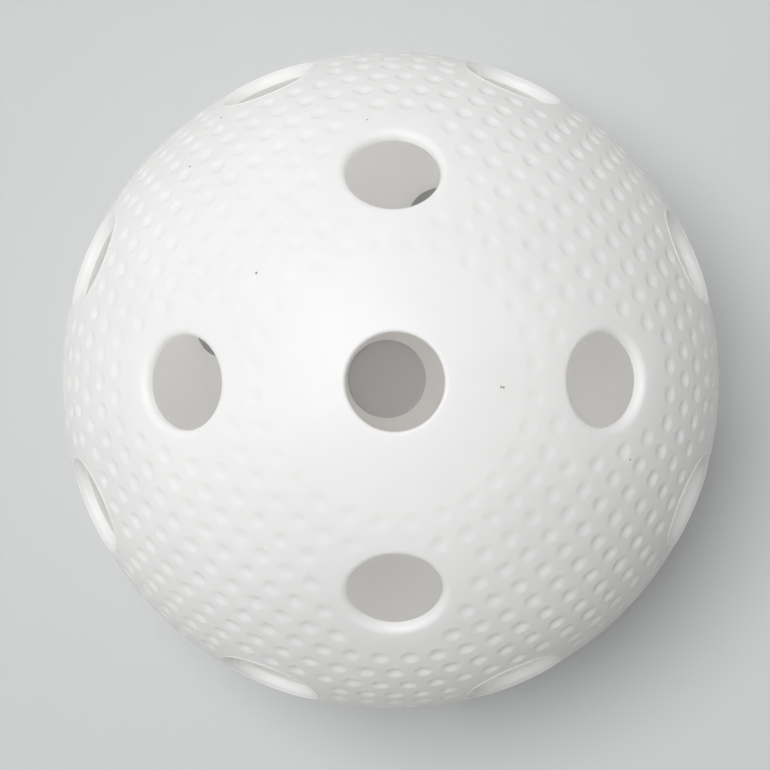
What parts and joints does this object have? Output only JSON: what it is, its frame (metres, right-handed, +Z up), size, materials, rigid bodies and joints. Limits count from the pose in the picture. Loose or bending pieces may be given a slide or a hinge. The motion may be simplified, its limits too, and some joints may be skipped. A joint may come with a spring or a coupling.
{
  "type": "floorball ball",
  "caption": "Hollow white play ball: a perforated, dimpled plastic shell of moulded halves welded rim to rim, for indoor stick games.",
  "frame": {"origin": "centre of the ball", "axes": "+Z up along the pole axis, through the pole holes of both halves; +X along the line about which one half is the other turned over"},
  "size_m": [0.072, 0.072, 0.071],
  "materials": {
    "shell": "white moulded polyethylene, soft sheen",
    "weld": "white polyethylene, melted and set"
  },
  "bodies": {
    "root": {"upper_half_shell": "shell", "lower_half_shell": "shell", "weld_seam": "weld"}
  },
  "joints": []
}
